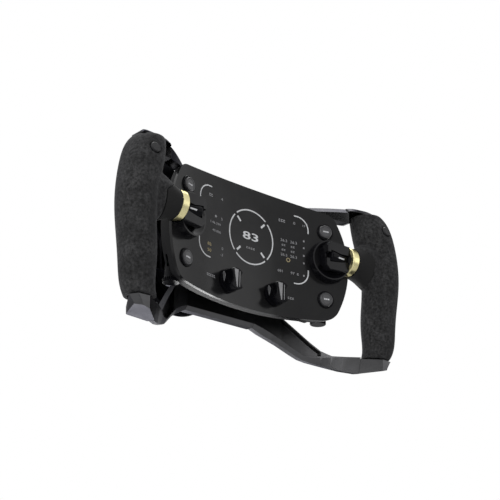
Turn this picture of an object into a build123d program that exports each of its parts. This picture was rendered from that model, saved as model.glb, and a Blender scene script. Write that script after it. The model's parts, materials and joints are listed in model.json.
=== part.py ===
from build123d import *
from math import asin, cos, radians, sin, sqrt
import os

# ---------------------------------------------------------------------------
# Racing wheel. Millimetres, +Z up, +X to the driver's right, +Y away from the
# driver. The origin is the centre of the rear mounting face, on the hub axis.
# "ahead" is a distance towards the driver, measured from the middle of the
# panel's face. Heights called "rise" are measured from the display's centre.
# ---------------------------------------------------------------------------

# Driving sizes
hub_reach = 107.0
display_rise = 5.0

panel_half_width = 101.0
panel_top = 46.0
panel_bottom = 66.3
panel_side_bulge = 14.4
panel_bulge_rise = -8.0
panel_top_crown = 6.2
panel_bottom_crown = 4.9
panel_top_corner = 12.0
panel_bottom_corner = 18.0
panel_radius = 278.0
panel_thickness = 3.0

bezel_depth = 6.0
bezel_width = 7.0
housing_inset = 5.0
housing_depth = 9.0
housing_wall = 2.5
forward_room = 30.0
box_half_width = 33.0
box_top = 36.0
box_bottom = 44.0
box_back = 27.0
box_corner = 6.0
cover_thickness = 3.0
pillar_spread = 16.0
pillar_radius = 5.0

display_width = 72.0
display_height = 62.0
display_depth = 5.0
board_side_gap = 1.0
board_end_gap = 2.5
board_thickness = 1.6
board_back = 20.0
post_inset = 5.0
post_radius = 3.0
screw_inset = 5.0
screw_head_radius = 2.7
screw_head_height = 1.8
screw_slot_radius = 1.5
screw_slot_depth = 1.0

button_inset = 21.8
upper_button_rise = 22.2
lower_button_rise = -42.6
bezel_ring_radius = 8.0
bezel_ring_bore = 6.6
bezel_ring_lip = 1.2
bezel_ring_gap = 0.15
bezel_sleeve_radius = 7.4
bezel_sleeve_reach = 1.5
bezel_edge = 0.4
button_radius = 6.25
button_proud = 2.8
button_travel = 1.2
button_flange = 1.2
button_edge = 0.6
button_pocket_gap = 1.0
switch_width = 6.2
switch_height = 2.0
switch_board_width = 11.0

knob_spread = 26.2
knob_rise = -47.7
knob_skirt_radius = 10.5
knob_skirt_height = 2.6
knob_height = 11.5
knob_bar_width = 9.0
knob_scoop_radius = 9.5
knob_gap = 0.3
knob_barrel_step = 0.8
knob_edge = 0.7
shaft_radius = 3.0
running_clearance = 0.06
encoder_width = 13.0
encoder_depth = 6.0

dial_inset = 18.0
dial_ahead = -2.5
dial_radius = 7.3
dial_height = 3.5
dial_gap = 0.4
dial_flutes = 24
dial_flute_radius = 0.6
dial_boss_rise = -58.0
dial_boss_radius = 5.5
dial_boss_height = 12.0
dial_boss_floor = 1.0
dial_edge = 0.5

thumb_lift = 3.7416
thumb_rise = -4.7
ring_radius = 13.0
ring_inset = 7.2
ring_width = 7.4
ring_bore = 9.0
ring_edge = 0.7
seat_gap = 0.03
press_gap = 0.02
roller_radius = 5.8
roller_reach = 19.8
roller_nose = 1.2
roller_gap = 0.3
roller_shaft = 8.0
notch_lap = 0.5
pod_inset = 19.0
pod_rise = -6.5
pod_foot_radius = 20.3
pod_rim_radius = 18.8
pod_height = 8.0
pod_rim_width = 1.2
pod_dish_depth = 5.5
pod_clearance = 0.7
jaw_radius = 13.4
jaw_reach = 23.8
jaw_nose = 3.5
jaw_front_inner = 25.2
jaw_front_outer = 29.0
lip_setback = 1.6
mouth_high = -2.0
mouth_low = -7.6

grip_levels = [48.0, 34.0, 15.0, -8.0, -35.0, -65.0, -91.0]
grip_centres = [125.2, 131.2, 135.5, 138.9, 137.7, 135.0, 130.3]
grip_ahead = [16.5, 19.2, 21.0, 22.2, 22.2, 22.1, 21.5]
grip_half_widths = [13.0, 16.9, 17.4, 16.5, 15.7, 14.6, 12.5]
grip_depth_ratio = 1.12
core_width = 11.0
core_depth = 13.0
core_centre = 132.0
core_ahead = 21.5
skin_clearance = 0.3
spoke_core_radius = 7.5

collar_length = 16.8
spoke_length = 25.8
spoke_stations = [
    # part of the way out, lift, then half height and half depth in collar radii
    (0.0, 0.0, 1.0, 1.0),
    (0.2248, 0.3, 1.1418, 1.0373),
    (0.4574, 1.3, 1.3582, 1.0821),
    (0.6899, 1.3, 1.597, 1.1119),
    (1.0, 1.1, 1.8657, 1.0896),
]
collar_radius = 13.4
collar_seam_slope = 38.0
seam_start_rise = 12.0
grip_button_rise = 30.2
grip_button_centre = 133.2
grip_button_ahead = 37.4
grip_button_gap = 0.4
grip_button_radius = 4.6
grip_button_proud = 1.4
grip_button_travel = 1.0
grip_button_depth = 5.0
grip_facet_tilt = 14

arm_depth = 10.0
arm_chamfer = 5.0
upper_arm_top = 51.5
upper_arm_stations = [
    # side, ahead, bottom
    (38.0, -34.0, 35.0),
    (54.0, -20.0, 40.0),
    (70.0, -6.6, 44.0),
    (87.4, 7.6, 40.5),
    (103.6, 18.9, 36.5),
]
upper_arm_end = (111.5, 13.5, 40.0)
cap_plan = [
    # side, ahead, top
    (103.6, 18.9, 51.5),
    (111.5, 23.6, 51.7),
    (122.0, 24.8, 53.0),
    (131.0, 24.8, 53.4),
    (137.5, 24.0, 49.0),
]
cap_bottom = 47.6
cap_gap = 1.2
cap_front_height = 0.8
cap_depth = 17.0
lower_arm_stations = [
    # side, ahead, top, front edge's foot, bottom
    (38.0, -38.0, -46.0, -62.2, -65.5),
    (46.0, -35.6, -46.0, -65.2, -70.1),
    (54.0, -31.5, -46.5, -70.0, -74.6),
    (61.0, -26.8, -53.8, -75.9, -79.4),
    (67.0, -22.4, -60.4, -81.0, -84.3),
    (72.0, -18.6, -66.0, -85.6, -88.5),
    (77.0, -14.8, -71.7, -89.2, -92.3),
    (82.0, -10.6, -77.6, -90.6, -94.8),
    (88.5, -4.4, -85.0, -90.8, -97.4),
    (95.0, 2.6, -89.6, -90.9, -100.2),
    (103.0, 11.4, -90.6, -91.0, -103.6),
    (113.2, 20.9, -91.0, -91.2, -105.9),
]
lower_bevel = 3.2
underside_slope = 0.16
pocket_first = 3
pocket_last = 8
pocket_rim = 1.3
pocket_depth = 5.0
foot_top = -92.6
foot_plans = [
    # rise, then side and ahead of each corner
    (foot_top, (113.2, 20.9), (129.0, 33.0), (139.5, 32.4), (143.2, 25.0), (126.0, -3.3), (113.2, 10.9)),
    (-98.5, (113.2, 19.7), (129.0, 33.0), (136.0, 32.4), (138.2, 25.0), (126.0, -3.3), (113.2, 9.7)),
    (-107.5, (113.2, 17.8), (128.8, 33.0), (132.0, 32.4), (133.5, 25.0), (126.0, -3.3), (113.2, 7.8)),
]
foot_underside = [(129.0, 33.7, -103.3), (113.2, 19.2, -105.9), (137.1, 26.3, -99.6)]
foot_corner = 1.4

plate_front = -38.0
plate_thickness = 10.0
plate_half_width = 38.0
plate_ear_half_width = 55.0
plate_ear_top = 15.0
plate_ear_bottom = -45.7
adapter_flange_radius = 42.0
adapter_flange_thickness = 8.0
adapter_waist_radius = 29.0
adapter_edge = 0.8
contact_recess_radius = 12.0
wire_bore = 4.0
bolt_circle = 70.0
bolt_count = 6
bolt_hole_radius = 2.75
bolt_radius = 2.5
bolt_clearance = 0.05
bolt_end_gap = 0.5
bolt_socket = 2.25
bolt_head_radius = 4.25
bolt_head_height = 5.0
contact_thickness = 8.0
contact_setback = 1.5
contact_pin_radius = 1.2
contact_pins = 5

paddle_thickness = 3.0
paddle_edge = 0.6
paddle_ahead = -20.0
shift_pivot_side = 50.0
shift_pivot_ahead = -31.0
shift_outer_side = 82.0
shift_top = 54.0
shift_bottom = 45.0
shift_corner = 5.0
shift_heel = 22.0
shift_waist = 1.5
shift_flare = 3.0
shift_shoulder = 14.0
shift_wing_inset = 12.5
shift_wing_foot = 36.0
shift_wing_lean = 1.0
shift_wide_side = 88.0
shift_wide_low = -8.0
shift_wide_high = 8.0
shift_wide_start = -16.0
shift_neck = 5.0
clutch_ahead = -31.0
clutch_pivot_side = 40.0
clutch_pivot_ahead = -31.3
clutch_outer_side = 102.0
clutch_inner_side = 89.0
clutch_top = -20.0
clutch_bottom = -50.0
clutch_arm_low = -40.0
clutch_arm_high = -32.0
clutch_corner = 3.0
clutch_step = 2.0
clutch_taper = 4.0
barrel_radius = 3.8
pin_radius = 2.0
lug_thickness = 5.0
lug_gap = 0.3
bracket_thickness = 2.5

through = 1.0  # how far a cutting shape passes the face it cuts
same_place = 0.01  # how near two places lie to count as one

os.makedirs("parts", exist_ok=True)

face_y = -hub_reach
curve_axis_y = face_y - panel_radius
button_spread = panel_half_width - button_inset
dial_spread = panel_half_width - dial_inset
pod_side = panel_half_width - pod_inset
board_width = 2 * (box_half_width - housing_wall - board_side_gap)
board_high = box_top - housing_wall - board_end_gap
board_low = housing_wall + board_end_gap - box_bottom
ring_start = panel_half_width - ring_inset
ring_middle = ring_start + ring_width / 2
notch_start = ring_start - notch_lap
roller_start = ring_start - roller_reach
jaw_start = ring_start - jaw_reach
collar_start = ring_start + ring_width
collar_end = collar_start + collar_length
spoke_root = collar_start + spoke_length
thumb_ahead = panel_radius - sqrt(panel_radius**2 - ring_middle**2) + thumb_lift
thumb_y = face_y - thumb_ahead
thumb_z = display_rise + thumb_rise
plate_front_y = face_y - plate_front
plate_back_y = plate_front_y + plate_thickness


# ---------------------------------------------------------------------------
# Shared shapes
# ---------------------------------------------------------------------------
def height(rise):
    """Z of a height given from the display's centre."""
    return display_rise + rise


def on_panel(side, rise, lift=0.0):
    """Plane on the curved face, its normal towards the driver."""
    turn = asin(side / panel_radius)
    reach = panel_radius - lift
    origin = (reach * sin(turn), curve_axis_y + reach * cos(turn), height(rise))
    return Plane(origin=origin, x_dir=(cos(turn), -sin(turn), 0), z_dir=(-sin(turn), -cos(turn), 0))


def round_bar(plane, radius, low, high):
    """Cylinder along a plane's normal, from low to high."""
    return plane * Pos(0, 0, (low + high) / 2) * Cylinder(radius, high - low)


def block(x_range, y_range, z_range):
    """Box from three pairs of limits."""
    size = [high - low for low, high in (x_range, y_range, z_range)]
    centre = [(high + low) / 2 for low, high in (x_range, y_range, z_range)]
    return Pos(*centre) * Box(*size)


def along_x(side, radius, start, end):
    """Cylinder on the thumb axis between two distances from the middle."""
    plane = Plane(origin=(0, thumb_y, thumb_z), x_dir=(0, 1, 0), z_dir=(side, 0, 0))
    return round_bar(plane, radius, start, end)


def curved_layer(front, back):
    """Part of a hollow cylinder that follows the panel, between two depths."""
    tall = 4 * panel_half_width
    outer = Cylinder(panel_radius + back, tall)
    inner = Cylinder(panel_radius + front, tall)
    return Pos(0, curve_axis_y, 0) * (outer - inner)


def in_front_of(depth):
    """Everything on the driver's side of a curved surface behind the face."""
    return Pos(0, curve_axis_y, 0) * Cylinder(panel_radius + depth, 4 * panel_half_width)


def panel_outline(inset):
    """Outline of the panel in the XZ plane, drawn in by an inset."""
    side = panel_half_width - inset
    corner_side = side - panel_side_bulge
    top = height(panel_top - inset)
    bottom = height(inset - panel_bottom)
    corners = [
        (-corner_side, top - panel_top_crown),
        (corner_side, top - panel_top_crown),
        (corner_side, bottom + panel_bottom_crown),
        (-corner_side, bottom + panel_bottom_crown),
    ]
    bulge = height(panel_bulge_rise)
    middles = [(0, top), (side, bulge), (0, bottom), (-side, bulge)]
    edges = []
    for index, middle in enumerate(middles):
        edges.append(ThreePointArc(corners[index], middle, corners[(index + 1) % 4]))
    face = make_face(edges)
    upper = face.vertices().sort_by(Axis.Y)[2:4]
    face = fillet(upper, panel_top_corner - inset)
    lower = face.vertices().sort_by(Axis.Y)[0:2]
    return fillet(lower, panel_bottom_corner - inset)


def outline_prism(inset, front, back):
    """Panel outline extruded between two distances behind the face."""
    plane = Plane(origin=(0, face_y + back, 0), x_dir=(1, 0, 0), z_dir=(0, -1, 0))
    return extrude(plane * panel_outline(inset), back - front)


def mirrored(solid):
    """The left-hand twin of a right-hand solid."""
    return mirror(solid, about=Plane.YZ)


def section_at(side, points):
    """Closed section in the plane X = side, from (y, z) points."""
    plane = Plane(origin=(side, 0, 0), x_dir=(0, 1, 0), z_dir=(1, 0, 0))
    return plane * make_face(Polyline(*points, close=True))


# ---------------------------------------------------------------------------
# Front panel, its rim and the housing behind it
# ---------------------------------------------------------------------------
thumb_notch_radius = ring_radius + pod_clearance


def thumb_notches():
    """Openings at both ends of the panel for the thumb controls."""
    notch = along_x(1, thumb_notch_radius, notch_start, 2 * panel_half_width)
    notch += along_x(1, roller_radius + pod_clearance, roller_start, 2 * panel_half_width)
    return notch + mirrored(notch)


def button_places():
    for side in (-1, 1):
        for rise in (upper_button_rise, lower_button_rise):
            yield on_panel(side * button_spread, rise)


def button_room(plane, depth):
    """Pocket behind the panel for one button, its flange and its switch."""
    return round_bar(plane, bezel_sleeve_radius + button_pocket_gap, -depth, 0)


def dial_room():
    """Room in the rim's lower corner for one side dial."""
    return round_bar(dial_axis(height(dial_boss_rise)), dial_radius + dial_gap, -forward_room, 0)


def front_panel():
    solid = outline_prism(0, -forward_room, forward_room) & curved_layer(0, panel_thickness)
    solid -= thumb_notches()
    for plane in button_places():
        solid -= round_bar(plane, bezel_sleeve_radius, -2 * panel_thickness, panel_thickness)
    for side in (-1, 1):
        plane = on_panel(side * knob_spread, knob_rise)
        hole = shaft_radius + knob_gap
        solid -= round_bar(plane, hole, -2 * panel_thickness, panel_thickness)
    return solid


def bezel_frame():
    back = panel_thickness + bezel_depth
    layer = curved_layer(panel_thickness, back)
    ring = outline_prism(skin_clearance, -forward_room, forward_room) & layer
    ring -= outline_prism(bezel_width, -forward_room - through, forward_room + through)
    for plane in button_places():
        ring -= button_room(plane, back + through)
    for corner in (dial_room(), mirrored(dial_room())):
        ring -= corner
    return ring - thumb_notches()


def panel_housing():
    """Curved wings behind the rim, with a deeper box in the middle."""
    front = panel_thickness + bezel_depth
    back = front + housing_depth
    wings = outline_prism(housing_inset, -forward_room, forward_room) & curved_layer(front, back)
    room = forward_room + through
    hollow = outline_prism(bezel_width + through, -room, room)
    wings -= hollow & curved_layer(front - through, back - housing_wall)
    box_z = (height(-box_bottom), height(box_top))
    box = block((-box_half_width, box_half_width), (face_y + front, face_y + box_back), box_z)
    box = fillet(box.edges().filter_by(Axis.Y), box_corner)
    box -= in_front_of(front + housing_wall)
    inner_half = box_half_width - housing_wall
    inner_z = (box_z[0] + housing_wall, box_z[1] - housing_wall)
    inner = block((-inner_half, inner_half), (face_y, face_y + box_back + through), inner_z)
    inner = fillet(inner.edges().filter_by(Axis.Y), box_corner - housing_wall)
    shell = wings + box
    for solid in (dial_boss(), mirrored(dial_boss())):
        shell += solid
    bore_start = dial_axis(height(dial_boss_rise))
    bore_end = dial_boss_height - dial_boss_floor
    bore = round_bar(bore_start, shaft_radius + running_clearance, -through, bore_end)
    for hole in (inner, thumb_notches(), bore, mirrored(bore)):
        shell -= hole
    for plane in button_places():
        shell -= button_room(plane, back - housing_wall)
    return shell


def rear_cover():
    cover_y = (face_y + box_back, face_y + box_back + cover_thickness)
    cover_z = (height(-box_bottom), height(box_top))
    cover = block((-box_half_width, box_half_width), cover_y, cover_z)
    return fillet(cover.edges().filter_by(Axis.Y), box_corner)


def cover_screw_places():
    for side in (-1, 1):
        for rise in (box_top - 2 * screw_inset, 2 * screw_inset - box_bottom):
            yield side * (box_half_width - screw_inset), height(rise)


# ---------------------------------------------------------------------------
# What the housing holds
# ---------------------------------------------------------------------------
module_front = panel_thickness + skin_clearance


def display_module():
    depth = (face_y + module_front, face_y + module_front + display_depth)
    return block(
        (-display_width / 2, display_width / 2),
        depth,
        (height(-display_height / 2), height(display_height / 2)),
    )


def main_board():
    front = face_y + board_back
    return block(
        (-board_width / 2, board_width / 2),
        (front, front + board_thickness),
        (height(board_low), height(board_high)),
    )


def post_places():
    for side in (-1, 1):
        for rise in (board_high - post_inset, board_low + post_inset):
            yield side * (board_width / 2 - post_inset), height(rise)


def board_posts():
    """Four posts that carry the board and the display from the cover."""
    posts = Part()
    front = face_y + board_back + board_thickness
    for side, z in post_places():
        plane = Plane(origin=(side, front, z), z_dir=(0, 1, 0))
        posts += round_bar(plane, post_radius, 0, box_back - board_back - board_thickness)
    return posts


def display_spacer():
    """Block between the display and the board."""
    front = face_y + module_front + display_depth
    return block(
        (-display_width / 4, display_width / 4),
        (front, face_y + board_back),
        (height(-display_height / 4), height(display_height / 4)),
    )


def housing_pillars():
    """Four pillars between the rear cover and the hub plate."""
    pillars = Part()
    start = face_y + box_back + cover_thickness
    for side in (-1, 1):
        for rise in (box_top - 2 * box_corner, -box_bottom + 2 * box_corner):
            plane = Plane(origin=(side * pillar_spread, start, height(rise)), z_dir=(0, 1, 0))
            pillars += round_bar(plane, pillar_radius, 0, plate_front_y - start)
    return pillars


def cover_screws():
    screws = Part()
    back = face_y + box_back + cover_thickness
    for side, z in cover_screw_places():
        plane = Plane(origin=(side, back, z), z_dir=(0, 1, 0))
        head = round_bar(plane, screw_head_radius, 0, screw_head_height)
        socket_low = screw_head_height - screw_slot_depth
        socket = round_bar(plane, screw_slot_radius, socket_low, screw_head_height + through)
        screws += head - socket
    return screws


# ---------------------------------------------------------------------------
# Buttons, rotary knobs and side dials
# ---------------------------------------------------------------------------
def button_bezels():
    rings = Part()
    sleeve_end = -panel_thickness - bezel_sleeve_reach
    for plane in button_places():
        ring = round_bar(plane, bezel_ring_radius, bezel_ring_gap, bezel_ring_lip)
        outer_rim = ring.edges().filter_by(GeomType.CIRCLE).sort_by_distance(plane.origin)[-1]
        ring = chamfer(outer_rim, bezel_edge)
        ring += round_bar(plane, bezel_sleeve_radius - press_gap, sleeve_end, bezel_ring_gap)
        rings += ring - round_bar(plane, bezel_ring_bore, sleeve_end - through, bezel_ring_lip + through)
    return rings


def button_cap(side, rise):
    plane = on_panel(side, rise)
    back = -panel_thickness - bezel_sleeve_reach - skin_clearance
    cap = round_bar(plane, button_radius, back, button_proud)
    front = plane.offset(button_proud)
    rims = [e for e in cap.edges().filter_by(GeomType.CIRCLE) if front.contains(e.arc_center)]
    cap = chamfer(rims, button_edge)
    return cap + round_bar(plane, bezel_sleeve_radius - skin_clearance, back - button_flange, back)


def button_switches():
    """A switch on a small board behind each pair of buttons."""
    solids = Part()
    flange_back = panel_thickness + bezel_sleeve_reach + skin_clearance + button_flange
    seat = flange_back + button_travel + skin_clearance
    wall = panel_thickness + bezel_depth + housing_depth - housing_wall
    for plane in button_places():
        middle = -seat - switch_height / 2
        solids += plane * Pos(0, 0, middle) * Box(switch_width, switch_width, switch_height)
        middle -= (switch_height + board_thickness) / 2
        solids += plane * Pos(0, 0, middle) * Box(switch_board_width, switch_board_width, board_thickness)
        solids += round_bar(plane, shaft_radius, -wall, middle - board_thickness / 2)
    return solids


def knob(side):
    """Skirt and pointer bar in one, on its own shaft."""
    plane = on_panel(side * knob_spread, knob_rise)
    skirt = round_bar(plane, knob_skirt_radius, knob_gap, knob_gap + knob_skirt_height)
    top = knob_gap + knob_height
    barrel = round_bar(plane, knob_skirt_radius - knob_barrel_step, knob_gap + knob_skirt_height, top)
    scoop_centre = knob_bar_width / 2 + knob_scoop_radius
    for hand in (-1, 1):
        scoop_plane = plane * Pos(hand * scoop_centre, 0, 0)
        cut = Cylinder(knob_scoop_radius, 2 * knob_height)
        barrel -= plane * Pos(hand * scoop_centre, 0, knob_gap + knob_skirt_height + knob_height) * cut
    rim = barrel.edges().filter_by(lambda e: plane.offset(top).contains(e.center()))
    barrel = chamfer(rim, knob_edge)
    shaft = round_bar(plane, shaft_radius, -panel_thickness - encoder_depth, knob_gap + knob_skirt_height)
    return skirt + barrel + shaft


def encoders():
    """Rotary encoders behind the two knobs."""
    solids = Part()
    for side in (-1, 1):
        plane = on_panel(side * knob_spread, knob_rise)
        depth = panel_thickness + skin_clearance + encoder_depth
        body = plane * Pos(0, 0, -depth + encoder_depth / 2)
        body = body * Box(encoder_width, encoder_width, encoder_depth)
        body -= round_bar(plane, shaft_radius + running_clearance, -depth - through, 0)
        solids += body
    return solids


def dial_axis(z):
    return Plane(origin=(dial_spread, face_y - dial_ahead, z))


def dial_boss():
    """Boss under the end of the housing that carries the dial's shaft."""
    boss = round_bar(dial_axis(height(dial_boss_rise)), dial_boss_radius, 0, dial_boss_height)
    return boss - in_front_of(panel_thickness + bezel_depth)


def side_dial():
    axis = dial_axis(height(dial_boss_rise) - dial_gap)
    body = round_bar(axis, dial_radius, -dial_height, 0)
    body = chamfer(body.edges().filter_by(GeomType.CIRCLE), dial_edge)
    for turn in range(dial_flutes):
        angle = radians(360 / dial_flutes * turn)
        place = Pos(dial_radius * cos(angle), dial_radius * sin(angle), -dial_height / 2)
        body -= axis * place * Cylinder(dial_flute_radius, 2 * dial_height)
    shaft_end = dial_gap + dial_boss_height - 2 * dial_boss_floor
    return body + round_bar(axis, shaft_radius, 0, shaft_end)


# ---------------------------------------------------------------------------
# Thumb controls: a ribbed roller in an open pod, and a bright ring
# ---------------------------------------------------------------------------
def thumb_pod():
    """Dished round boss on the panel, with two jaws that hold the roller."""
    foot_plane = on_panel(pod_side, pod_rise)
    boss = foot_plane * Pos(0, 0, pod_height / 2) * Cone(pod_foot_radius, pod_rim_radius, pod_height)
    rim = pod_rim_radius - pod_rim_width
    dish_radius = (rim**2 + pod_dish_depth**2) / (2 * pod_dish_depth)
    boss -= foot_plane * Pos(0, 0, pod_height - pod_dish_depth + dish_radius) * Sphere(dish_radius)
    end = ring_start - roller_gap
    jaws = along_x(1, jaw_radius, jaw_start, end)
    jaws = chamfer(jaws.edges().filter_by(GeomType.CIRCLE).sort_by(Axis.X)[0], jaw_nose)
    for low, high, setback in ((-2 * jaw_radius, mouth_high, lip_setback), (mouth_high, 2 * jaw_radius, 0)):
        front = [
            (jaw_start - through, face_y - jaw_front_inner + setback),
            (end + through, face_y - jaw_front_outer + setback),
            (end + through, thumb_y - 2 * jaw_radius),
            (jaw_start - through, thumb_y - 2 * jaw_radius),
        ]
        plane = Plane(origin=(0, 0, height(low)))
        jaws -= extrude(plane * make_face(Polyline(*front, close=True)), high - low)
    jaws -= block(
        (jaw_start - through, end + through),
        (thumb_y - 2 * jaw_radius, thumb_y),
        (height(mouth_low), height(mouth_high)),
    )
    pod = (boss + jaws) & in_front_of(0)
    pod -= along_x(1, roller_radius + pod_clearance, roller_start - pod_clearance, end + through)
    pod -= along_x(1, ring_radius + pod_clearance, end, collar_end)
    reach = 2 * pod_foot_radius
    return pod - block(
        (collar_start, collar_start + reach),
        (thumb_y - reach, thumb_y + reach),
        (thumb_z - reach, thumb_z + reach),
    )


def thumb_roller():
    end = ring_start - roller_gap
    roller = along_x(1, roller_radius, roller_start, end)
    roller = chamfer(roller.edges().filter_by(GeomType.CIRCLE), roller_nose)
    return roller + along_x(1, shaft_radius, end - through, end + roller_shaft)


def bright_ring():
    ring = along_x(1, ring_radius, ring_start, collar_start - press_gap)
    ring = chamfer(ring.edges().filter_by(GeomType.CIRCLE), ring_edge)
    return ring - along_x(1, ring_bore + seat_gap, ring_start - through, collar_start + through)


# ---------------------------------------------------------------------------
# Grips: a bar inside, a soft skin around it and a smooth collar on the spoke
# ---------------------------------------------------------------------------
def grip_body():
    """Upright form of the grip, through oval sections at each level."""
    sections = []
    for rise, centre, ahead, half in zip(grip_levels, grip_centres, grip_ahead, grip_half_widths):
        plane = Plane(origin=(centre, face_y - ahead, height(rise)))
        sections.append(plane * Ellipse(half, half * grip_depth_ratio))
    return loft(sections)


def spoke_sections():
    """Sections of the thumb spoke: side, centre rise, half height, half depth."""
    for part_way, lift, tall, deep in spoke_stations:
        side = collar_start + part_way * (spoke_root - collar_start)
        yield side, thumb_rise + lift, tall * collar_radius, deep * collar_radius


def spoke_body():
    sections = []
    for side, rise, half_height, half_depth in spoke_sections():
        plane = Plane(origin=(side, thumb_y, height(rise)), x_dir=(0, 1, 0), z_dir=(1, 0, 0))
        sections.append(plane * Ellipse(half_depth, half_height))
    return loft(sections)


def grip_core():
    bar = block(
        (core_centre - core_width / 2, core_centre + core_width / 2),
        (face_y - core_ahead - core_depth / 2, face_y - core_ahead + core_depth / 2),
        (height(foot_top), height(cap_bottom)),
    )
    return bar + along_x(1, spoke_core_radius, collar_start + through, core_centre)


def core_room():
    """The core with a little room around it."""
    room = block(
        (core_centre - core_width / 2 - skin_clearance, core_centre + core_width / 2 + skin_clearance),
        (
            face_y - core_ahead - core_depth / 2 - skin_clearance,
            face_y - core_ahead + core_depth / 2 + skin_clearance,
        ),
        (height(foot_top) - through, height(upper_arm_top)),
    )
    return room + along_x(1, spoke_core_radius + skin_clearance, collar_start - through, core_centre)


def grip_button_plane():
    return Plane(
        origin=(grip_button_centre, face_y - grip_button_ahead, height(grip_button_rise)),
        x_dir=(1, 0, 0),
        z_dir=(0, -cos(radians(grip_facet_tilt)), sin(radians(grip_facet_tilt))),
    )


def spoke_collar():
    """Smooth sleeve on the spoke, cut along a slanted seam."""
    cone = spoke_body() & block(
        (collar_start, collar_end),
        (thumb_y - 3 * collar_radius, thumb_y + 3 * collar_radius),
        (thumb_z - 3 * collar_radius, thumb_z + 3 * collar_radius),
    )
    cone = cone & seam_side()
    cone += along_x(1, ring_bore, ring_start + roller_gap, collar_start)
    bore_start = collar_start + pod_clearance
    cone -= along_x(1, spoke_core_radius + skin_clearance, bore_start, collar_end + through)
    return cone - along_x(1, shaft_radius + running_clearance, ring_start, ring_start + roller_shaft)


def seam_side():
    """Everything below the slanted seam where the smooth sleeve ends."""
    reach = 4 * collar_radius
    start = (collar_start, height(seam_start_rise))
    rise = radians(collar_seam_slope)
    drop = (start[0] + reach * cos(rise), start[1] - reach * sin(rise))
    low = height(-reach)
    corners = [
        (start[0] - reach, start[1]),
        start,
        drop,
        (drop[0], low),
        (start[0] - reach, low),
    ]
    plane = Plane(origin=(0, thumb_y, 0), x_dir=(1, 0, 0), z_dir=(0, -1, 0))
    return extrude(plane * make_face(Polyline(*corners, close=True)), 3 * collar_radius, both=True)


def grip_skin():
    """Soft covering of the grip and the outer part of its spoke, flattened round the button."""
    skin = grip_body() + spoke_body()
    skin -= grip_trim()
    cone = spoke_body() & block(
        (collar_start - through, collar_end + skin_clearance),
        (thumb_y - 3 * collar_radius, thumb_y + 3 * collar_radius),
        (thumb_z - 3 * collar_radius, thumb_z + 3 * collar_radius),
    )
    skin -= cone & Pos(skin_clearance, 0, skin_clearance) * seam_side()
    skin -= core_room()
    plane = grip_button_plane()
    wide = 4 * grip_half_widths[0]
    skin -= plane * Pos(0, 0, wide / 2) * Box(2 * wide, 2 * wide, wide)
    hole = grip_button_radius + grip_button_gap
    skin -= round_bar(plane, hole, -grip_button_depth, 2 * grip_button_depth)
    return skin


def grip_trim():
    """Room for the upper arm's cap and for the foot."""
    wide = 4 * grip_half_widths[0]
    span = (core_centre - wide, core_centre + wide)
    deep = (face_y - core_ahead - wide, face_y - core_ahead + wide)
    top = block(span, deep, (height(cap_bottom - cap_gap), height(cap_bottom + wide)))
    bottom = block(span, deep, (height(foot_top - wide), height(foot_top) + skin_clearance))
    return top + bottom


def grip_button():
    plane = grip_button_plane()
    back = grip_button_travel + skin_clearance - grip_button_depth
    cap = round_bar(plane, grip_button_radius, back, grip_button_proud)
    rims = [e for e in cap.edges().filter_by(GeomType.CIRCLE) if e.center().Y < plane.origin.Y]
    return chamfer(rims, button_edge)


# ---------------------------------------------------------------------------
# Frame: hub plate, upper and lower arms, feet and rear adapter
# ---------------------------------------------------------------------------
def upper_arm_section(x, ahead, bottom):
    front, top = face_y - ahead, height(upper_arm_top)
    points = [
        (front, height(bottom)),
        (front, top - arm_chamfer),
        (front + arm_chamfer, top),
        (front + arm_depth, top),
        (front + arm_depth, height(bottom)),
    ]
    return section_at(x, points)


def upper_arm():
    """Arm from the hub plate to the grip, with a thin cap over the grip."""
    sections = [upper_arm_section(*station) for station in upper_arm_stations]
    arm = loft(sections) + loft([sections[-1], upper_arm_section(*upper_arm_end)])
    cap_sections = []
    for x, ahead, top_rise in cap_plan:
        front = face_y - ahead
        points = [
            (front, height(cap_bottom)),
            (front, height(cap_bottom + cap_front_height)),
            (front + top_rise - cap_bottom - cap_front_height, height(top_rise)),
            (front + cap_depth, height(top_rise)),
            (front + cap_depth, height(cap_bottom)),
        ]
        cap_sections.append(section_at(x, points))
    plane = Plane(origin=(grip_centres[0], face_y - grip_ahead[0], height(cap_bottom)))
    half = grip_half_widths[0] + skin_clearance
    oval = extrude(plane * Ellipse(half, half * grip_depth_ratio), 2 * arm_depth)
    bridge = block(
        (grip_centres[0] - 2 * half, grip_centres[0] - half / 2),
        (face_y - 2 * arm_depth - cap_depth, face_y),
        (plane.origin.Z, height(upper_arm_top) + 2 * arm_depth),
    )
    return arm + (loft(cap_sections) & (oval + bridge))


def lower_arm():
    """Arm from the hub plate's foot down and forward to the grip's foot."""
    sections = []
    for x, ahead, top, line, bottom in lower_arm_stations:
        front = face_y - ahead
        back_rise = underside_slope * (arm_depth - lower_bevel)
        points = [
            (front, height(top)),
            (front, height(line)),
            (front + lower_bevel, height(bottom)),
            (front + arm_depth, height(bottom + back_rise)),
            (front + arm_depth, height(top)),
        ]
        sections.append(section_at(x, points))
    return loft(sections, ruled=True) - lower_arm_pocket()


def lower_arm_pocket():
    """Shallow pocket in the arm's front face, narrowing towards the foot."""
    sections = []
    for x, ahead, top, line, bottom in lower_arm_stations[pocket_first : pocket_last + 1]:
        front = face_y - ahead
        points = [
            (front - through, height(line + pocket_rim)),
            (front + pocket_depth, height(line + pocket_rim)),
            (front + pocket_depth, height(top - pocket_rim)),
            (front - through, height(top - pocket_rim)),
        ]
        sections.append(section_at(x, points))
    return loft(sections, ruled=True)


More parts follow.
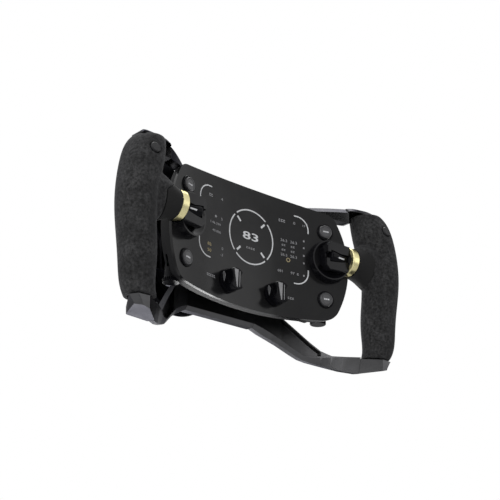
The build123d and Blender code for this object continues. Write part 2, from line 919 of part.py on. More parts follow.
def foot():
    """Block under the grip with a tilted underside and a drawn-in outer end."""
    sections = []
    for rise, *corners in foot_plans:
        points = [(x, face_y - ahead) for x, ahead in corners]
        face = make_face(Polyline(*points, close=True))
        outer = [v for v in face.vertices() if v.X > corners[0][0] + foot_corner]
        sections.append(Plane(origin=(0, 0, height(rise))) * fillet(outer, foot_corner))
    pad = loft(sections, ruled=True)
    front, inner, outer = [Vector(x, face_y - ahead, height(rise)) for x, ahead, rise in foot_underside]
    down = (inner - front).cross(outer - front).normalized()
    reach = 4 * arm_depth
    return pad - Plane(origin=front, z_dir=down) * Pos(0, 0, reach / 2) * Box(4 * reach, 4 * reach, reach)


def plate_outline():
    top = height(upper_arm_top)
    bottom = height(lower_arm_stations[0][4])
    tall = block((-plate_half_width, plate_half_width), (plate_front_y, plate_back_y), (bottom, top))
    ears = block(
        (-plate_ear_half_width, plate_ear_half_width),
        (plate_front_y, plate_back_y),
        (height(plate_ear_bottom), height(plate_ear_top)),
    )
    disc_plane = Plane(origin=(0, plate_front_y, 0), z_dir=(0, 1, 0))
    disc = round_bar(disc_plane, adapter_flange_radius, 0, plate_thickness)
    return tall + ears + disc


def bolt_axes(y):
    for turn in range(bolt_count):
        angle = radians(360 / bolt_count * turn + 30)
        yield Plane(
            origin=(bolt_circle / 2 * cos(angle), y, bolt_circle / 2 * sin(angle)),
            z_dir=(0, 1, 0),
        )


def hub_plate():
    plate = plate_outline()
    for lowest_or_highest, bevel in ((0, lower_bevel), (-1, arm_chamfer)):
        edges = plate.edges().filter_by(Axis.X).sort_by(Axis.Z)
        front_edges = [e for e in edges if abs(e.center().Y - plate_front_y) < same_place]
        plate = chamfer(front_edges[lowest_or_highest], bevel)
    for axis in bolt_axes(plate_front_y):
        plate -= round_bar(axis, bolt_radius + bolt_clearance, -through, plate_thickness + through)
    hole = Plane(origin=(0, plate_front_y, 0), z_dir=(0, 1, 0))
    return plate - round_bar(hole, wire_bore, -through, plate_thickness + through)


def hub_adapter():
    """Turned spacer between the hub plate and the wheelbase."""
    axis = Plane(origin=(0, plate_back_y, 0), z_dir=(0, 1, 0))
    length = -plate_back_y
    body = round_bar(axis, adapter_flange_radius, 0, adapter_flange_thickness)
    body += round_bar(axis, adapter_flange_radius, length - adapter_flange_thickness, length)
    body = chamfer(body.edges().filter_by(GeomType.CIRCLE), adapter_edge)
    flange_start = length - adapter_flange_thickness
    body += round_bar(axis, adapter_waist_radius, adapter_flange_thickness, flange_start)
    body -= round_bar(axis, wire_bore, -through, length + through)
    recess_floor = length - contact_thickness - contact_setback
    body -= round_bar(axis, contact_recess_radius, recess_floor, length + through)
    for bolt in bolt_axes(plate_back_y):
        body -= round_bar(bolt, bolt_radius + bolt_clearance, -through, adapter_flange_thickness + through)
    for bolt in bolt_axes(0):
        body -= round_bar(bolt, bolt_hole_radius, -adapter_flange_thickness - through, through)
    return body


def hub_bolts():
    bolts = Part()
    for axis in bolt_axes(plate_front_y):
        head = round_bar(axis, bolt_head_radius, -bolt_head_height, 0)
        socket = RegularPolygon(bolt_socket, 6)
        head -= extrude(axis.offset(-bolt_head_height) * socket, bolt_head_height / 2)
        bolt_end = plate_thickness + adapter_flange_thickness - bolt_end_gap
        bolts += head + round_bar(axis, bolt_radius, 0, bolt_end)
    return bolts


def hub_contact():
    """Plug of spring contacts in the adapter's bore."""
    axis = Plane(origin=(0, 0, 0), z_dir=(0, 1, 0))
    front = -contact_thickness - contact_setback
    plug = round_bar(axis, contact_recess_radius - press_gap, front, -contact_setback)
    for turn in range(contact_pins):
        angle = radians(360 / contact_pins * turn + 90)
        centre = contact_recess_radius / 2
        pin = axis * Pos(centre * cos(angle), centre * sin(angle), -contact_setback)
        plug += pin * Cylinder(contact_pin_radius, contact_setback)
    return plug


# ---------------------------------------------------------------------------
# Paddles behind the panel
# ---------------------------------------------------------------------------
def paddle_plate(points, ahead, corner):
    """Flat paddle from an outline in the XZ plane."""
    plane = Plane(origin=(0, face_y - ahead, 0), x_dir=(1, 0, 0), z_dir=(0, -1, 0))
    face = make_face(Polyline(*points, close=True))
    rounded = [v for v in face.vertices() if v.X > points[0][0] + corner]
    face = fillet(rounded, corner)
    plate = extrude(plane * face, -paddle_thickness)
    edges = plate.edges().filter_by(lambda e: abs(e.center().Y - (face_y - ahead)) < same_place)
    return chamfer(edges, paddle_edge)


def pivot_barrel(side, ahead, low, high):
    axis = Plane(origin=(side, face_y - ahead, height(low)))
    return round_bar(axis, barrel_radius, 0, high - low)


def pivot_hole(side, ahead, low, high):
    axis = Plane(origin=(side, face_y - ahead, height(low)))
    return round_bar(axis, pin_radius + running_clearance, -through, high - low + through)


shift_barrel = (-10.0, 6.0)
clutch_barrel = (clutch_arm_low, clutch_arm_high)


def shift_paddle():
    inner = shift_pivot_side + barrel_radius
    wing = shift_outer_side - shift_wing_inset
    points = [
        (inner, height(-shift_bottom / 2)),
        (shift_outer_side - shift_heel, height(-shift_bottom)),
        (shift_outer_side - shift_waist, height(-shift_bottom)),
        (shift_outer_side, height(shift_wide_start)),
        (shift_wide_side, height(shift_wide_low)),
        (shift_wide_side, height(shift_wide_high)),
        (shift_outer_side + shift_flare, height(shift_top)),
        (wing + shift_wing_lean, height(shift_top)),
        (wing, height(shift_wing_foot)),
        (inner, height(shift_shoulder)),
    ]
    blade = paddle_plate(points, paddle_ahead, shift_corner)
    low, high = shift_barrel
    neck = block(
        (shift_pivot_side - through, inner + shift_neck),
        (face_y - paddle_ahead, face_y - shift_pivot_ahead),
        (height(low), height(high)),
    )
    paddle = blade + neck + pivot_barrel(shift_pivot_side, shift_pivot_ahead, low, high)
    return paddle - pivot_hole(shift_pivot_side, shift_pivot_ahead, low, high)


def clutch_paddle():
    low, high = clutch_barrel
    points = [
        (clutch_pivot_side, height(low)),
        (clutch_inner_side - clutch_step - through, height(low)),
        (clutch_inner_side - clutch_step, height(clutch_bottom)),
        (clutch_outer_side - clutch_taper, height(clutch_bottom)),
        (clutch_outer_side, height(clutch_top)),
        (clutch_inner_side, height(clutch_top)),
        (clutch_inner_side - clutch_step, height(high)),
        (clutch_pivot_side, height(high)),
    ]
    blade = paddle_plate(points, clutch_ahead, clutch_corner)
    neck = block(
        (clutch_pivot_side - clutch_step, clutch_pivot_side + barrel_radius),
        (face_y - clutch_ahead, face_y - clutch_pivot_ahead),
        (height(low), height(high)),
    )
    paddle = blade + neck + pivot_barrel(clutch_pivot_side, clutch_pivot_ahead, low, high)
    return paddle - pivot_hole(clutch_pivot_side, clutch_pivot_ahead, low, high)


def lugs(side, ahead, low, high):
    """Pair of lugs above and below a paddle's barrel, back to the bracket."""
    solids = Part()
    for bottom in (high + lug_gap, low - lug_gap - lug_thickness):
        solids += block(
            (side - barrel_radius, side + barrel_radius),
            (face_y - ahead - barrel_radius, plate_front_y),
            (height(bottom), height(bottom + lug_thickness)),
        )
    return solids


def paddle_bracket():
    spine_low = height(clutch_barrel[0] - lug_gap - lug_thickness)
    spine_high = height(shift_barrel[1] + lug_gap + lug_thickness)
    spine = block(
        (clutch_pivot_side - barrel_radius, shift_pivot_side + barrel_radius),
        (plate_front_y - bracket_thickness, plate_front_y),
        (spine_low, spine_high),
    )
    bracket = spine + lugs(shift_pivot_side, shift_pivot_ahead, *shift_barrel)
    bracket += lugs(clutch_pivot_side, clutch_pivot_ahead, *clutch_barrel)
    for side, ahead, ends in (
        (shift_pivot_side, shift_pivot_ahead, shift_barrel),
        (clutch_pivot_side, clutch_pivot_ahead, clutch_barrel),
    ):
        axis = Plane(origin=(side, face_y - ahead, height(ends[0])))
        past = 2 * (lug_gap + lug_thickness)
        bracket -= round_bar(axis, pin_radius + press_gap, -past, ends[1] - ends[0] + past)
    return bracket


def paddle_pins():
    pins = Part()
    for side, ahead, (low, high) in (
        (shift_pivot_side, shift_pivot_ahead, shift_barrel),
        (clutch_pivot_side, clutch_pivot_ahead, clutch_barrel),
    ):
        axis = Plane(origin=(side, face_y - ahead, height(low)))
        reach = lug_gap + lug_thickness
        pins += round_bar(axis, pin_radius, -reach, high - low + reach)
    return pins + mirrored(pins)


# ---------------------------------------------------------------------------
# Sub-parts, one file each
# ---------------------------------------------------------------------------
parts = {
    "front_panel": front_panel(),
    "bezel_frame": bezel_frame(),
    "panel_housing": panel_housing(),
    "rear_cover": rear_cover(),
    "display_module": display_module(),
    "display_spacer": display_spacer(),
    "main_board": main_board(),
    "board_posts": board_posts(),
    "housing_pillars": housing_pillars(),
    "cover_screws": cover_screws(),
    "button_bezels": button_bezels(),
    "button_switches": button_switches(),
    "encoders": encoders(),
    "hub_plate": hub_plate(),
    "hub_adapter": hub_adapter(),
    "hub_bolts": hub_bolts(),
    "hub_contact": hub_contact(),
    "paddle_pins": paddle_pins(),
}

for level, rise in (("upper", upper_button_rise), ("lower", lower_button_rise)):
    parts[f"button_{level}_right"] = button_cap(button_spread, rise)
    parts[f"button_{level}_left"] = button_cap(-button_spread, rise)

parts["knob_right"] = knob(1)
parts["knob_left"] = knob(-1)

right_hand_parts = {
    "side_dial": side_dial(),
    "thumb_pod": thumb_pod(),
    "thumb_roller": thumb_roller(),
    "bright_ring": bright_ring(),
    "spoke_collar": spoke_collar(),
    "grip_core": grip_core(),
    "grip_skin": grip_skin(),
    "grip_button": grip_button(),
    "upper_arm": upper_arm(),
    "lower_arm": lower_arm(),
    "foot": foot(),
    "shift_paddle": shift_paddle(),
    "clutch_paddle": clutch_paddle(),
    "paddle_bracket": paddle_bracket(),
}
for name, solid in right_hand_parts.items():
    parts[f"{name}_right"] = solid
    parts[f"{name}_left"] = mirrored(solid)

for name, solid in parts.items():
    export_step(solid, f"parts/{name}.step")
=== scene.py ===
# %% [markdown]
# # A sim racing wheel
#
# The object is a steering wheel for racing games: two upright suede grips on a dark metal frame, a
# curved glossy control panel between them, thumb rollers with pale gold rings, two rotary knobs, four
# round push buttons, and pull paddles behind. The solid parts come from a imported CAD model. This
# script dresses them: it softens their edges, wraps the grips, prints the panel and lights it all.
#
# The first cell loads the CAD model. Every object is in metres, +X is the driver's right, +Y points
# away from the driver and +Z is up. Small lengths are written in millimetres, times mm.

# %% Load the CAD model
import json
import math

import bmesh
import bpy
from mathutils import Matrix, Vector


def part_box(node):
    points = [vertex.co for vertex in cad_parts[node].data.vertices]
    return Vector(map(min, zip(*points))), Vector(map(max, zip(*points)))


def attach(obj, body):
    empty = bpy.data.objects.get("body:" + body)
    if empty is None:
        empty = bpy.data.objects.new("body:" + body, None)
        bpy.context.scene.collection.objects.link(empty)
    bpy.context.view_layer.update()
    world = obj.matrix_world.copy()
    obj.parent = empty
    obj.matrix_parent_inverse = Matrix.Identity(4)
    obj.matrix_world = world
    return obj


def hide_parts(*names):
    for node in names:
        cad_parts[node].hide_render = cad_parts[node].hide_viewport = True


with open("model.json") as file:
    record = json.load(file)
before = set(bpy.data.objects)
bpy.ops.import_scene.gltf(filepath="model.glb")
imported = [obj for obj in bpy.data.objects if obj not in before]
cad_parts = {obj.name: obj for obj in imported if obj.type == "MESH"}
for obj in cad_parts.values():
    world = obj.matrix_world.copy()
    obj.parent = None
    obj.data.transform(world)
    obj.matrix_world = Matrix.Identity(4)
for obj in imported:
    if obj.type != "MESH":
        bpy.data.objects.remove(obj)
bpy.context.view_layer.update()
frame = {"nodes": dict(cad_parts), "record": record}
scene = bpy.context.scene
mm = 0.001

# %% [markdown]
# ## Camera
#
# The wheel is seen from the driver's left and from below, through a long lens. A camera could be
# turned by hand until it looks right, but a point to aim at and a small roll say the same thing in
# four numbers, so they are used here. A camera looks along its own -Z.

# %% Camera
camera_place = Vector((-0.66178, -0.87889, -0.39998))
camera_aim = Vector((-0.00137, -0.10805, -0.00780))
camera_roll = math.radians(0.70)
focal_length, sensor_width = 90.1, 36.0

camera_data = bpy.data.cameras.new("studio_camera")
camera_data.lens = focal_length
camera_data.sensor_width = sensor_width
camera_data.clip_end = 20.0
camera = bpy.data.objects.new("studio_camera", camera_data)
scene.collection.objects.link(camera)
look = (camera_aim - camera_place).to_track_quat("-Z", "Y").to_matrix().to_4x4()
camera.matrix_world = Matrix.Translation(camera_place) @ look @ Matrix.Rotation(camera_roll, 4, "Z")
scene.camera = camera
print("camera at", [round(v, 3) for v in camera_place])

# %% [markdown]
# ## Helpers for materials
#
# Every finish below starts as one Principled shader. Texture nodes then vary its colour, roughness and
# bump. They all read Object coordinates, which are metres on the object itself, so a pattern has a
# real size and stays put when a part moves.

# %% Material helpers
def shader_of(material):
    """A material's one Principled shader."""
    return material.node_tree.nodes["Principled BSDF"]


def new_material(name, **sockets):
    """A Principled material with constant values on its sockets. Spaces are written as underscores."""
    material = bpy.data.materials.new(name)
    material.use_nodes = True
    for socket, value in sockets.items():
        shader_of(material).inputs[socket.replace("_", " ")].default_value = value
    return material


def add_node(material, kind, **values):
    """Adds a node; keyword values go to its properties or its inputs."""
    node = material.node_tree.nodes.new(kind)
    for key, value in values.items():
        if key in node.inputs:
            node.inputs[key].default_value = value
        else:
            setattr(node, key, value)
    return node


def link(material, source, target):
    """Joins an output of one node to an input of another."""
    material.node_tree.links.new(source, target)


def noise(material, scale, detail=4.0, roughness=0.5):
    """Noise on Object coordinates, as a grey value. Scale is in bumps per metre."""
    place = add_node(material, "ShaderNodeTexCoord")
    texture = add_node(material, "ShaderNodeTexNoise", Scale=scale, Detail=detail, Roughness=roughness)
    link(material, place.outputs["Object"], texture.inputs["Vector"])
    return texture.outputs["Fac"]


noise_middle = (0.35, 0.65)


def remap(material, value, low, high):
    """Turns a texture's middle range, where most of it lies, into values from low to high."""
    node = add_node(material, "ShaderNodeMapRange")
    node.inputs["From Min"].default_value = noise_middle[0]
    node.inputs["From Max"].default_value = noise_middle[1]
    node.inputs["To Min"].default_value = low
    node.inputs["To Max"].default_value = high
    link(material, value, node.inputs["Value"])
    return node.outputs["Result"]


def colour_from(material, grey, dark, light):
    """Base colour between two colours, from a grey value."""
    mixed = add_node(material, "ShaderNodeMix", data_type="RGBA")
    mixed.inputs["A"].default_value = (*dark, 1.0)
    mixed.inputs["B"].default_value = (*light, 1.0)
    link(material, grey, mixed.inputs["Factor"])
    link(material, mixed.outputs["Result"], shader_of(material).inputs["Base Color"])


def roughness_from(material, grey, low, high):
    """Roughness between two values, from a grey value."""
    link(material, remap(material, grey, low, high), shader_of(material).inputs["Roughness"])


def bump(material, height, distance, strength=1.0):
    """Tiny relief, in metres, from a grey value."""
    node = add_node(material, "ShaderNodeBump", Strength=strength, Distance=distance)
    link(material, height, node.inputs["Height"])
    link(material, node.outputs["Normal"], shader_of(material).inputs["Normal"])


print("helpers ready")

# %% [markdown]
# ## Floor, backdrop and lights
#
# The wheel hangs in a plain studio: a pale floor well below it and a white surround. A backdrop could
# be a big curved sheet, but a world that answers camera, glossy and transmission rays with white is
# simpler and leaves no edge. The same world gives only a soft grey to matt surfaces, so white never
# comes from too much light.

# %% Floor and white surround
def flat_sheet(name, half_side, height):
    """A square sheet lying flat at a height."""
    shape = bmesh.new()
    bmesh.ops.create_grid(shape, x_segments=1, y_segments=1, size=half_side)
    bmesh.ops.translate(shape, verts=shape.verts, vec=(0.0, 0.0, height))
    mesh = bpy.data.meshes.new(name)
    shape.to_mesh(mesh)
    shape.free()
    sheet = bpy.data.objects.new(name, mesh)
    scene.collection.objects.link(sheet)
    return sheet


floor_half_side, floor_height = 4.0, -0.58
floor = flat_sheet("studio_floor", floor_half_side, floor_height)
floor_paint = new_material("floor_paint", Roughness=0.9)
colour_from(floor_paint, noise(floor_paint, 6.0), (0.74, 0.74, 0.74), (0.80, 0.80, 0.80))
floor.data.materials.append(floor_paint)

world = bpy.data.worlds.new("studio_world")
world.use_nodes = True
scene.world = world
world_nodes = world.node_tree.nodes
world_links = world.node_tree.links


def either(first, second):
    """A world node that says whether one of two kinds of ray is meant."""
    node = world_nodes.new("ShaderNodeMath")
    node.operation = "MAXIMUM"
    world_links.new(first, node.inputs[0])
    world_links.new(second, node.inputs[1])
    return node.outputs["Value"]


soft_fill = world_nodes["Background"]
soft_fill.inputs["Color"].default_value = (0.42, 0.42, 0.43, 1.0)
white_surround = world_nodes.new("ShaderNodeBackground")
white_surround.inputs["Color"].default_value = (1.0, 1.0, 1.0, 1.0)
rays = world_nodes.new("ShaderNodeLightPath").outputs
seen = either(either(rays["Is Camera Ray"], rays["Is Glossy Ray"]), rays["Is Transmission Ray"])
mix_worlds = world_nodes.new("ShaderNodeMixShader")
world_links.new(seen, mix_worlds.inputs["Fac"])
world_links.new(soft_fill.outputs["Background"], mix_worlds.inputs[1])
world_links.new(white_surround.outputs["Background"], mix_worlds.inputs[2])
world_links.new(mix_worlds.outputs["Shader"], world_nodes["World Output"].inputs["Surface"])
scene.view_settings.view_transform = "Standard"
print("floor and white surround")

# %% [markdown]
# Four softboxes light it: a large one from the driver's left and above for the long highlight on the
# left grip, one overhead for the frame's top edges, a weak one from the right, and one low behind,
# which the undersides of the feet and lower arms mirror. An area lamp is a softbox's own shape, so its
# reflection looks right.

# %% Softboxes
wheel_middle = Vector((0.0, -0.10, 0.0))


def facing_wheel(direction, distance, forward):
    """A place round the wheel whose forward axis points at the wheel's middle."""
    place = Vector(direction).normalized() * distance
    turn = (-place).to_track_quat(forward, "Y").to_matrix().to_4x4()
    return Matrix.Translation(wheel_middle + place) @ turn


def softbox(name, direction, distance, size, power):
    """A square area lamp that looks at the middle of the wheel."""
    lamp = bpy.data.lights.new(name, "AREA")
    lamp.shape = "SQUARE"
    lamp.size = size
    lamp.energy = power
    lamp_object = bpy.data.objects.new(name, lamp)
    lamp_object.matrix_world = facing_wheel(direction, distance, "-Z")
    scene.collection.objects.link(lamp_object)


softbox("left_softbox", (-0.85, -0.38, 0.36), 1.5, 1.2, 14.0)
softbox("top_softbox", (0.24, 0.18, 0.95), 1.6, 0.8, 19.0)
softbox("right_softbox", (0.70, -0.70, 0.15), 1.8, 0.8, 2.0)
softbox("low_softbox", (0.35, 0.86, -0.37), 1.25, 0.55, 10.0)
print("four softboxes")

# %% [markdown]
# White all round makes every machined face look equally grey. In a studio, black cards hang where a
# face would mirror too much white. The wide card stands before the wheel, above the camera, and the faces
# of the arms mirror it; the small one does the same for the front of the left foot. Only mirror rays
# see them, so they never show in a view from another side.

# %% Black cards
card_paint = new_material(
    "card_paint", Roughness=1.0, Specular_IOR_Level=0.0, Base_Color=(0.002, 0.002, 0.002, 1.0)
)


def black_card(name, direction, distance, wide, high):
    """A dark sheet that faces the middle of the wheel, out of the camera's view."""
    card = flat_sheet(name, half_side=0.5, height=0.0)
    card.matrix_world = facing_wheel(direction, distance, "Z") @ Matrix.Diagonal((wide, high, 1.0, 1.0))
    card.data.materials.append(card_paint)
    card.visible_camera = False
    card.visible_diffuse = False


black_card("arm_card", (-0.48, -0.79, 0.38), 1.0, 0.62, 0.42)
black_card("foot_card", (-0.80, -0.37, -0.47), 0.8, 0.20, 0.20)
print("two black cards")

# %% [markdown]
# ## Finishes
#
# Every material slot of the CAD record gets one finish. Dark anodised metal could be a black paint,
# but then its edges would look dull. A metallic shader with a very dark colour reflects the softboxes
# the way anodised aluminium does, and a little noise in the roughness breaks the reflection up.

# %% Metal finishes
def anodised(name, dark, light, roughness):
    """Bead-blasted and anodised metal: fine even grain, slight cloudiness."""
    material = new_material(name, Metallic=1.0, Specular_Tint=(0.35, 0.35, 0.36, 1.0))
    clouds = noise(material, 35.0, detail=3.0)
    colour_from(material, remap(material, clouds, 0.0, 1.0), dark, light)
    blast = noise(material, 900.0, detail=2.0)
    roughness_from(material, blast, roughness - 0.04, roughness + 0.05)
    bump(material, blast, 0.004 * mm)
    return material


metals = {
    "frame_metal": ((0.070, 0.070, 0.072), (0.088, 0.088, 0.091), 0.33),
    # arm_metal_painted_shade: a darker copy of frame_metal, painted shade on the upper arms' faces.
    "arm_metal_painted_shade": ((0.040, 0.040, 0.041), (0.052, 0.052, 0.054), 0.25),
    "adapter_metal": ((0.006, 0.006, 0.007), (0.010, 0.010, 0.011), 0.46),
    "bezel_metal": ((0.022, 0.022, 0.024), (0.032, 0.032, 0.034), 0.32),
    "paddle_metal": ((0.005, 0.005, 0.006), (0.009, 0.009, 0.010), 0.50),
    "ring_metal": ((0.66, 0.60, 0.32), (0.72, 0.66, 0.37), 0.30),
    "bright_steel": ((0.50, 0.50, 0.51), (0.58, 0.58, 0.59), 0.28),
    "core_metal": ((0.40, 0.40, 0.41), (0.48, 0.48, 0.49), 0.38),
}
finishes = {}
for name, (dark, light, roughness) in metals.items():
    finishes[name] = anodised(name, dark, light, roughness)
print("metal finishes:", len(finishes))

# %% [markdown]
# The plastics are moulded. Gloss plastic is never perfectly smooth: a slow waviness bends its
# reflections and faint handling marks change its roughness. Matt plastic has a fine spark-eroded
# grain. Image textures could hold them, but noise on Object coordinates has no seams, and its grain
# has the real size on every part.

# %% Plastic and glass finishes
def gloss_plastic(name, colour, roughness, specular):
    """Moulded gloss plastic with slow waviness and faint handling marks."""
    material = new_material(name, Specular_IOR_Level=specular)
    marks = noise(material, 60.0, detail=5.0, roughness=0.6)
    lighter = tuple(1.25 * channel for channel in colour)
    colour_from(material, remap(material, marks, 0.0, 1.0), colour, lighter)
    roughness_from(material, marks, 0.8 * roughness, 1.3 * roughness)
    bump(material, noise(material, 25.0, detail=1.0), 0.02 * mm)
    return material


def matt_plastic(name, colour, roughness, specular):
    """Moulded plastic with a fine spark-eroded texture."""
    material = new_material(name, Specular_IOR_Level=specular)
    clouds = noise(material, 45.0, detail=3.0)
    lighter = tuple(1.3 * channel for channel in colour)
    colour_from(material, remap(material, clouds, 0.0, 1.0), colour, lighter)
    erosion = noise(material, 1500.0, detail=2.0)
    roughness_from(material, erosion, roughness - 0.05, roughness + 0.07)
    bump(material, erosion, 0.012 * mm)
    return material


gloss_plastics = {
    "panel_gloss": ((0.0085, 0.0085, 0.0090), 0.17, 0.17),
    "pod_gloss": ((0.004, 0.004, 0.005), 0.20, 0.24),
    "knob_gloss": ((0.003, 0.003, 0.004), 0.22, 0.06),
    "display_glass": ((0.006, 0.006, 0.008), 0.08, 0.50),
}
matt_plastics = {
    "shell_plastic": ((0.004, 0.004, 0.005), 0.55, 0.15),
    "button_plastic": ((0.050, 0.050, 0.053), 0.42, 0.50),
    "dark_button": ((0.012, 0.012, 0.013), 0.50, 0.20),
    "circuit_board": ((0.012, 0.075, 0.035), 0.40, 0.50),
    # pointer_grey: a pointer mark whose light grey also paints the highlight on a knob's bar.
    "pointer_grey": ((0.20, 0.20, 0.205), 0.35, 0.50),
    # drop_grey: light grey that paints the highlight on each knob's skirt.
    "drop_grey": ((0.12, 0.12, 0.125), 0.30, 0.50),
}
for name, (colour, roughness, specular) in gloss_plastics.items():
    finishes[name] = gloss_plastic(name, colour, roughness, specular)
for name, (colour, roughness, specular) in matt_plastics.items():
    finishes[name] = matt_plastic(name, colour, roughness, specular)
print("finishes so far:", len(finishes))

# %% [markdown]
# The grips are wrapped in suede. Suede could be drawn as thousands of hairs, but at this distance its
# nap shows as a fine uneven grain, slow light and dark patches where it was brushed one way or the
# other, and a soft glow at grazing angles, which is the shader's sheen. The collars beside the thumb
# rings are smooth leather, with fine pores.

# %% Suede and leather
def suede(name, dark, light):
    """Brushed suede: patches from brushing, fine nap, soft sheen."""
    material = new_material(
        name, Roughness=0.95, Specular_IOR_Level=0.12,
        Sheen_Weight=0.10, Sheen_Roughness=0.5, Sheen_Tint=(0.55, 0.55, 0.58, 1.0),
    )
    brushed = noise(material, 55.0, detail=4.0, roughness=0.65)
    nap = noise(material, 1100.0, detail=3.0, roughness=0.7)
    fibres = noise(material, 420.0, detail=5.0, roughness=0.75)
    mixed = add_node(material, "ShaderNodeMath", operation="MULTIPLY")
    link(material, remap(material, brushed, 0.35, 0.85), mixed.inputs[0])
    link(material, remap(material, fibres, 0.1, 1.2), mixed.inputs[1])
    colour_from(material, mixed.outputs["Value"], dark, light)
    bump(material, nap, 0.35 * mm, strength=0.7)
    return material


def smooth_leather(name, dark, light, roughness):
    """Finished leather with fine pores."""
    material = new_material(name, Specular_IOR_Level=0.10)
    pores = add_node(material, "ShaderNodeTexVoronoi", Scale=900.0, feature="DISTANCE_TO_EDGE")
    place = add_node(material, "ShaderNodeTexCoord")
    link(material, place.outputs["Object"], pores.inputs["Vector"])
    clouds = noise(material, 60.0)
    colour_from(material, clouds, dark, light)
    roughness_from(material, clouds, roughness - 0.05, roughness + 0.08)
    bump(material, pores.outputs["Distance"], 0.03 * mm, strength=0.6)
    return material


finishes["grip_suede"] = suede("grip_suede", (0.006, 0.006, 0.006), (0.062, 0.062, 0.063))
leather_dark, leather_light = (0.010, 0.010, 0.010), (0.022, 0.022, 0.022)
finishes["collar_leather"] = smooth_leather("collar_leather", leather_dark, leather_light, 0.72)
print("finishes:", sorted(finishes))

# %% [markdown]
# Each CAD node knows its slot from the record, so one loop dresses them all. Pieces made later take
# the finish of the node that they stand for in the same way. The bars inside the grips peep out only
# as a thin line at both ends. They get the near-black adapter finish as painted shade, so that line
# reads as the shadowed gap between the suede and the frame.

# %% Dress the CAD nodes
sides = ("right", "left")
slot_of = {part["node"]: part["material_slot"] for part in frame["record"]["subparts"]}
body_of = {node: body for body, nodes in frame["record"]["behaviour"]["bodies"].items() for node in nodes}


def dress(piece, finish):
    """Gives a piece one finish."""
    piece.data.materials.clear()
    piece.data.materials.append(finish)


for node, solid in frame["nodes"].items():
    dress(solid, finishes[slot_of[node]])
# Painted shade: the grip cores take the near-black adapter finish instead of their own.
for side in sides:
    dress(frame["nodes"][f"grip_core_{side}"], finishes["adapter_metal"])
print("dressed", len(frame["nodes"]), "CAD nodes")

# %% [markdown]
# ## Softened edges
#
# A CAD solid has knife-sharp edges, and no machined or moulded part does. The highlight that runs
# along a rounded edge is what makes it look real. The solids could be modelled again, but a merged
# copy of each one, with a small bevel on its sharp edges, keeps the exact shape.

# %% Helper: softened copy of a node
same_point, same_plane = 0.004 * mm, math.radians(0.4)
sharp_edge = math.radians(28.0)


def merged_copy(node):
    """A node's mesh with its loose triangles joined and its flats made whole."""
    shape = bmesh.new()
    shape.from_mesh(frame["nodes"][node].data)
    bmesh.ops.remove_doubles(shape, verts=shape.verts, dist=same_point)
    bmesh.ops.dissolve_limit(
        shape, angle_limit=same_plane, use_dissolve_boundaries=False,
        verts=shape.verts, edges=shape.edges, delimit=set(),
    )
    return shape


def finished_piece(name, shape, finish, body, smooth_angle=35.0):
    """Turns a bmesh into a piece that rides on a body. Edges sharper than the angle stay crisp."""
    mesh = bpy.data.meshes.new(name)
    shape.to_mesh(mesh)
    shape.free()
    mesh.shade_smooth()
    mesh.set_sharp_from_angle(angle=math.radians(smooth_angle))
    piece = bpy.data.objects.new(name, mesh)
    scene.collection.objects.link(piece)
    dress(piece, finish)
    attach(piece, body)
    return piece


def softened(node, width, steps=2, finish=None):
    """A copy of a CAD node with its sharp edges rounded, shown in its place. Width is in millimetres."""
    shape = merged_copy(node)
    piece = finished_piece(f"soft_{node}", shape, finish or finishes[slot_of[node]], body_of[node])
    edge = piece.modifiers.new("rounded edges", "BEVEL")
    edge.width = width * mm
    edge.segments = steps
    edge.limit_method = "ANGLE"
    edge.angle_limit = sharp_edge
    edge.miter_outer = "MITER_ARC"
    piece.modifiers.new("even shading", "WEIGHTED_NORMAL")
    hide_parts(node)


print("softened() ready")

# %% [markdown]
# The frame is milled aluminium: a hub plate, two upper arms that end in a cap over each grip, two
# lower arms and a foot under each grip. Milled edges are broken by about half a millimetre, and the
# lower arms have a rounder edge, which catches a thin line of light. The CAD model has the shapes
# already, so all that each part needs here is its own width of edge.

# %% Frame, adapter and paddles
for side in sides:
    # The upper arms take a darker copy of the frame metal as painted shade on their faces.
    softened(f"upper_arm_{side}", 0.45, finish=finishes["arm_metal_painted_shade"])
    softened(f"lower_arm_{side}", 0.9, steps=3)
    softened(f"foot_{side}", 0.5)
    softened(f"shift_paddle_{side}", 0.25)
    softened(f"clutch_paddle_{side}", 0.25)
    softened(f"paddle_bracket_{side}", 0.3)
softened("hub_plate", 0.5)
softened("hub_adapter", 0.5)

# %% [markdown]
# The rim and the housing are mouldings with a soft edge, and the glossy panel has a finer one. The
# turned controls take three steps to an edge instead of two, because their edges show close up.

# %% Panel, rim, housing and controls
softened("front_panel", 0.25)
softened("bezel_frame", 0.35)
softened("panel_housing", 0.5)
softened("rear_cover", 0.5)
softened("button_bezels", 0.2, finish=finishes["knob_gloss"])
for side in sides:
    softened(f"thumb_pod_{side}", 0.35)
    softened(f"knob_{side}", 0.35, steps=3)
    softened(f"bright_ring_{side}", 0.3, steps=3)
    softened(f"thumb_roller_{side}", 0.3, steps=3)
    softened(f"spoke_collar_{side}", 0.4)
    softened(f"side_dial_{side}", 0.15, finish=finishes["knob_gloss"])
    softened(f"grip_button_{side}", 0.3, steps=3, finish=finishes["dark_button"])

# %% [markdown]
# ## Turned parts on the panel
#
# The push buttons stand square to the curved panel. Each cap is a small turned part: a flat rim, a
# fine groove and a slightly dished face. It could be a bevelled cylinder, but spinning a profile gives
# the groove as well. A little frame of three directions, worked out from the panel's curve, then sets
# every turned part square to the panel.

# %% Push-button caps
panel_front, panel_radius, panel_middle = -107.0, 278.0, 5.0
button_side, upper_button, lower_button = 79.2, 22.2, -42.6


def panel_spot(x, rise):
    """Where a point of the panel's face is, with the panel's own directions there. In millimetres."""
    lean = math.asin(x / panel_radius)
    across = Vector((math.cos(lean), -math.sin(lean), 0.0))
    up = Vector((0.0, 0.0, 1.0))
    place = Matrix((across, up, across.cross(up))).transposed().to_4x4()
    depth = panel_front - panel_radius + panel_radius * math.cos(lean)
    place.translation = Vector((x, depth, panel_middle + rise)) * mm
    return place


turning_steps = 56
turned_smooth = 40.0


